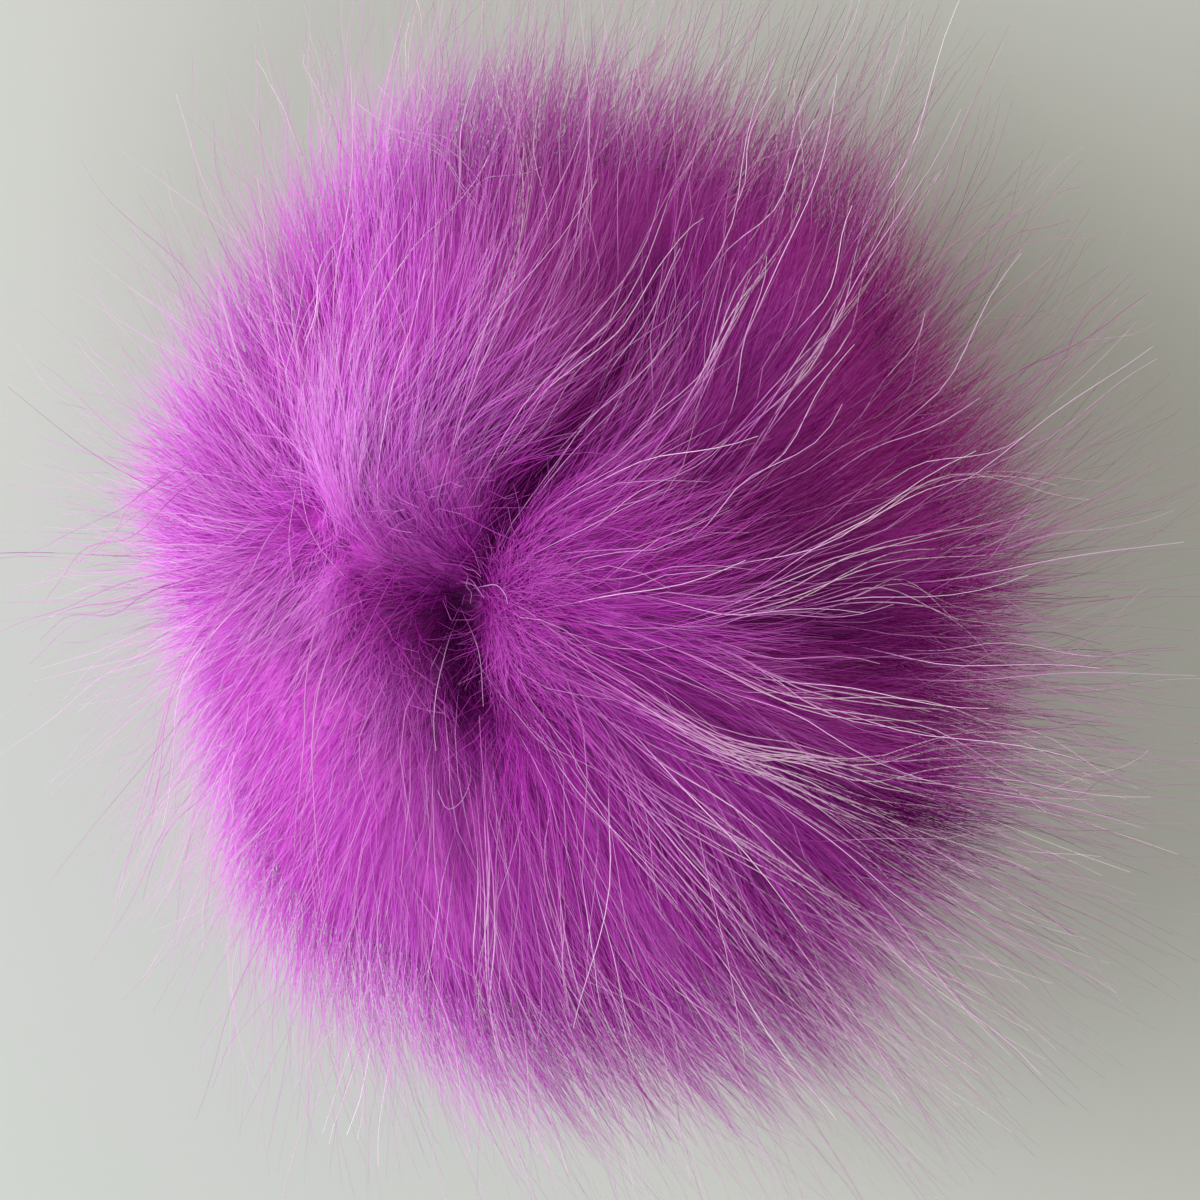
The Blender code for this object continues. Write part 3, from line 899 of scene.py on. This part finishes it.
# The long bright hairs in sprays. Plan points in millimetres from the ball's middle.
sprays = {
    "seed": 21, "points": 16, "linePoints": 60,
    "lift": 0.0022, "rootDip": 0.006, "dipShare": 0.25,
    "width": (0.000045, 0.000070, 0.000042), "wave": (0.0012, 1.25),
    "latestStart": 0.15, "earliestEnd": 0.80, "spreadCurve": 1.6,
    "toneScatter": 0.18, "toneRange": (0.22, 0.98),
    # the round form that they lie on: its reach in x and y, its height, and where it runs on straight
    "shell": (0.0505, 0.0565), "shellHeight": 0.0445, "shellTurn": 0.70,
    # count, tone, spread at root and tip in mm, then the plan points
    "rows": [
        (7, 0.92, 3.6, 4.5,
         [(-6, -7), (4, -12.5), (15.4, -18.6), (24, -19.6), (33, -20.5), (43, -18.8), (56, -19)]),
        (9, 0.92, 3.6, 8.0,
         [(-5, -8.5), (5, -13.5), (15, -18.6), (24, -21), (33, -24.4), (44, -27.5), (68, -37)]),
        (7, 0.92, 3.6, 7.0, [(-4, -9), (6, -14), (16, -19), (24, -23.4), (32, -28), (40, -34), (54, -45)]),
        (8, 0.90, 4.0, 6.0, [(4, -4), (15, -8.4), (24, -13), (33, -14.6), (40, -16), (50, -21), (60, -25)]),
        (13, 0.88, 4.5, 9.0, [(-4, -10), (5, -20), (15, -27.6), (22, -33), (35, -43), (54, -57)]),
        (14, 0.88, 4.5, 9.0, [(-4, -14), (6, -26), (15, -37), (23, -47), (35, -58), (48, -71)]),
        (14, 0.80, 6.0, 7.0, [(10, -28), (22, -40), (33, -51), (48, -67)]),
        (8, 0.75, 2.5, 7.0, [(0, -12), (16, -20), (34, -30), (52, -40), (66, -46)]),
        (9, 0.70, 3.5, 7.0, [(-6, -22), (-2.5, -37), (2, -50), (10, -64), (13, -72)]),
        (7, 0.65, 2.0, 6.0, [(-11, -18), (-10, -32), (-11, -46), (-8, -58), (-5, -70)]),
        (6, 0.60, 3.0, 6.0, [(-20, -24), (-23, -38), (-24, -52), (-27, -70)]),
        (9, 0.80, 1.2, 3.0, [(-14, 8), (-12.6, 15), (-9.2, 26), (-6.7, 37), (-6.3, 45), (-9, 54), (-12, 62)]),
        (5, 0.55, 1.6, 3.5, [(-7, 33), (-10.5, 41), (-15, 47.5), (-22.5, 53.2)]),
        (2, 0.95, 0.8, 0.6, [(-27.6, 17.8), (-17, 34), (-3.5, 55.8)]),
        (1, 0.85, 0.3, 0.3, [(-16, 36), (-9, 43), (-1, 45)]),
        (3, 0.45, 2.0, 3.0, [(-31, 18), (-29, 30), (-25, 42)]),
        (4, 0.45, 3.0, 3.0, [(-20, 6), (-23, 20), (-22, 34), (-24, 46)]),
        (5, 0.32, 6.0, 7.0, [(-20, 0), (-26, -12), (-29, -26), (-28, -40)]),
        (3, 0.70, 3.0, 4.0, [(-10, 8), (-4, 18), (4, 28), (10, 40), (14, 50)]),
        (7, 0.85, 2.4, 4.0, [(4, 8), (13, 20), (18, 32), (24, 45), (26, 62)]),
        (5, 0.85, 2.0, 4.0, [(12, 8), (24, 22), (33, 36), (38, 50)]),
        (2, 1.00, 0.6, 0.6, [(14, 6), (29, 28), (37, 40), (50, 55)]),
        (5, 0.95, 1.5, 3.0, [(6, -7), (22, -2), (36, 3), (53, 5.5)]),
        (4, 0.90, 1.5, 3.0, [(13, -4), (30, 6), (42, 11), (64, 12)]),
        (4, 0.80, 1.2, 2.5, [(20, -5), (34, -2), (42, -4), (48, -6)]),
        (6, 0.36, 3.0, 9.0, [(-30, 6), (-37, -2), (-43, -11), (-48, -24), (-52, -36)]),
        (5, 0.35, 3.0, 6.0, [(-42, 12), (-52, 6), (-67, 0)]),
        (5, 0.30, 3.0, 6.0, [(-40, 0), (-54, -4), (-67, -10)]),
        (5, 0.55, 7.0, 9.0, [(-27, 40), (-31, 53), (-32, 66)]),
        (6, 0.65, 4.0, 5.0, [(-16, 42), (-18, 56), (-16, 70)]),
        (6, 0.60, 3.0, 5.0, [(2, 46), (8, 57), (12, 68)]),
        (6, 0.60, 3.0, 5.0, [(22, 42), (31, 55), (37, 68)]),
        (6, 0.45, 3.5, 6.0, [(36, 28), (48, 38), (64, 46)]),
        (6, 0.45, 3.5, 6.0, [(44, 16), (57, 25), (71, 32)]),
        (7, 0.45, 4.0, 6.0, [(43, -8), (57, -10), (71, -8)]),
        (7, 0.50, 4.0, 6.0, [(45, -24), (59, -26), (71, -26)])]}

# Single hairs by the partings.
strays = {
    "points": 16, "width": (0.000045, 0.000050, 0.00003),
    # tone, height of root and tip over the pelt in mm, then the plan points
    "rows": [
        (0.80, 1.0, 4.0, [(-11.7, -1.7), (-10.4, -1.4), (-8.9, -1.3), (-7.9, -2.3), (-7.6, -3.3)]),
        (0.75, 1.0, 3.5, [(-13.2, -3.7), (-14.7, -6.9), (-16.1, -10.4)]),
        (0.60, 1.0, 3.5, [(-13.1, -3.7), (-10.9, -8.6), (-10.3, -14.4)]),
        (0.85, 4.0, 4.5, [(-12, -19.6), (-11.8, -22.4), (-12.7, -24.7), (-14.2, -25.4), (-15.2, -23.4)]),
        (0.30, 1.0, 2.5, [(-12.8, -0.4), (-11.7, -0.8), (-10.9, -1.9), (-10.3, -2.7)]),
        (0.25, 0.5, 2.0, [(-13.1, 0.7), (-12.2, -0.3), (-12.4, -1.3), (-11.8, -2.1), (-11.9, -3.3)]),
        (0.28, 0.5, 3.0, [(-13.5, 1.4), (-12.3, 0.5), (-11.4, 0.3), (-10.6, -0.4)]),
        (0.26, 0.5, 2.0, [(-10.4, -2.6), (-11.3, -1.4), (-12.7, -1.0)]),
        (0.42, 3.0, 5.0, [(-30.6, 8.3), (-34.5, 4.4), (-37.2, -0.4), (-41.4, -5)]),
        (0.36, 3.0, 5.0, [(-29.3, 17.8), (-30.9, 12.7), (-30.4, 7.5), (-28.8, 3.4), (-25.4, -0.3)]),
        (0.32, 3.0, 4.0, [(-34.6, 8.0), (-31.8, 7.4), (-29.3, 4.2)]),
        (0.34, 3.0, 4.5, [(-31.2, 11.4), (-32.2, 4.2), (-31.3, -1.4)]),
        (0.45, 4.0, 4.5, [(-44, -6.2), (-38.5, -6.9), (-33, -6.3)])]}


def shellHeight(plan):
    # a round top that runs on straight past its shoulder
    reach = np.hypot(plan[..., 0] / sprays["shell"][0], plan[..., 1] / sprays["shell"][1])
    turn = sprays["shellTurn"]
    top = np.sqrt(1 - np.minimum(reach, turn) ** 2)
    fall = turn / math.sqrt(1 - turn ** 2) * np.maximum(0.0, reach - turn)
    return pelt["centreHeight"] + sprays["shellHeight"] * (top - fall)


def smoothLine(corners, count):
    # evenly spaced points on a rounded line through the corners
    stepsEach = 12
    corners = np.array(corners, dtype=float)
    ends = np.vstack([2 * corners[0] - corners[1], corners, 2 * corners[-1] - corners[-2]])
    line = []
    for a, b, c, d in zip(ends, ends[1:], ends[2:], ends[3:]):
        for t in np.linspace(0, 1, stepsEach, endpoint=False):
            line.append(0.5 * (2 * b + (c - a) * t + (2 * a - 5 * b + 4 * c - d) * t ** 2
                               + (3 * b - a - 3 * c + d) * t ** 3))
    line = np.array(line + [corners[-1]])
    walked = np.concatenate([[0], np.cumsum(np.linalg.norm(np.diff(line, axis=0), axis=1))])
    at = np.linspace(0, walked[-1], count)
    return np.stack([np.interp(at, walked, line[:, k]) for k in range(line.shape[1])], axis=1)


def makeSprays():
    chance = np.random.default_rng(sprays["seed"])
    points = sprays["points"]
    s = np.linspace(0, 1, points)
    rootShare = ((1 - s) ** sprays["spreadCurve"])[:, None]
    tipShare = (s ** sprays["spreadCurve"])[:, None]
    dip = sprays["rootDip"] * (1 - np.minimum(1, s / sprays["dipShare"]))
    paths, tones = [], []
    for count, tone, rootSpread, tipSpread, corners in sprays["rows"]:
        whole = smoothLine(corners, sprays["linePoints"])
        for _ in range(count):
            start = chance.uniform(0, sprays["latestStart"])
            end = chance.uniform(sprays["earliestEnd"], 1.0)
            at = (np.linspace(start, end, points) * (sprays["linePoints"] - 1)).astype(int)
            rootShift, tipShift = chance.normal(0, rootSpread / 2, 2), chance.normal(0, tipSpread / 2, 2)
            plan = (whole[at] + rootShare * rootShift + tipShare * tipShift) * mm
            height = shellHeight(plan) + sprays["lift"] * chance.uniform(-1, 2) - dip
            paths.append(np.column_stack([plan, height]))
            tones.append(np.clip(tone + chance.normal(0, sprays["toneScatter"]), *sprays["toneRange"]))
    paths = wavy(np.array(paths), *sprays["wave"], chance)
    thickness = taper(len(paths), points, *sprays["width"], chance)
    layHairs("longHairs", paths, thickness, np.array(tones), longFur)

    s = np.linspace(0, 1, strays["points"])
    paths, tones = [], []
    for tone, rootRise, tipRise, corners in strays["rows"]:
        plan = smoothLine(corners, strays["points"]) * mm
        skin = peltPoint(unit(topPoint(plan) - ballCentre))
        height = skin[:, 2] + (rootRise + (tipRise - rootRise) * s) * mm
        paths.append(np.column_stack([plan, height]))
        tones.append(tone)
    thickness = taper(len(paths), strays["points"], *strays["width"], chance)
    layHairs("looseHairs", np.array(paths), thickness, np.array(tones), guardFur)


makeSprays()


# The pale surface, the daylight from the left and the camera straight above.
stage = {
    "floorReach": 2.0, "floorColour": (0.312, 0.326, 0.312), "floorRoughness": 0.9,
    # name, place, width, power, colour
    "lights": [
        ("window", (-0.66, 0.05, 0.42), 0.70, 12.2, (0.985, 1.0, 1.0)),
        ("skylight", (0.04, -0.50, 0.50), 0.40, 2.6, (0.98, 1.0, 1.0)),
        ("warmWall", (0.52, 0.40, 0.32), 0.50, 1.5, (1.0, 0.72, 0.34))],
    "lightsAim": (0, 0, 0.035),
    "roomColour": (0.88, 0.865, 0.80), "roomStrength": 0.62,
    "cameraPlace": (0.0023, -0.0029, 0.340), "lens": 76.0, "sensor": 36.0, "nearest": 0.01}


def makeFloor():
    mesh = bpy.data.meshes.new("floor")
    bm = bmesh.new()
    bmesh.ops.create_grid(bm, x_segments=1, y_segments=1, size=stage["floorReach"])
    bm.to_mesh(mesh)
    bm.free()
    floor = newObject("floor", mesh)
    material, tree, surface = newMaterial("paleSurface")
    surface.inputs["Base Color"].default_value = (*stage["floorColour"], 1.0)
    surface.inputs["Roughness"].default_value = stage["floorRoughness"]
    mesh.materials.append(material)


def areaLight(name, place, size, power, colour):
    data = bpy.data.lights.new(name, "AREA")
    data.shape = "DISK"
    data.size = size
    data.energy = power
    data.color = colour
    light = newObject(name, data)
    light.location = place
    light.rotation_euler = (Vector(stage["lightsAim"]) - Vector(place)).to_track_quat("-Z", "Y").to_euler()


def makeRoom():
    world = bpy.data.worlds.new("softRoom")
    world.use_nodes = True
    background = world.node_tree.nodes["Background"]
    background.inputs["Color"].default_value = (*stage["roomColour"], 1.0)
    background.inputs["Strength"].default_value = stage["roomStrength"]
    bpy.context.scene.world = world


def makeCamera():
    data = bpy.data.cameras.new("camera")
    data.lens = stage["lens"]
    data.sensor_width = stage["sensor"]
    data.clip_start = stage["nearest"]
    camera = newObject("camera", data)
    camera.location = stage["cameraPlace"]
    bpy.context.scene.camera = camera


makeFloor()
for row in stage["lights"]:
    areaLight(*row)
makeCamera()
makeRoom()
bpy.context.scene.view_settings.view_transform = "Standard"
print("floor, lights and camera set")
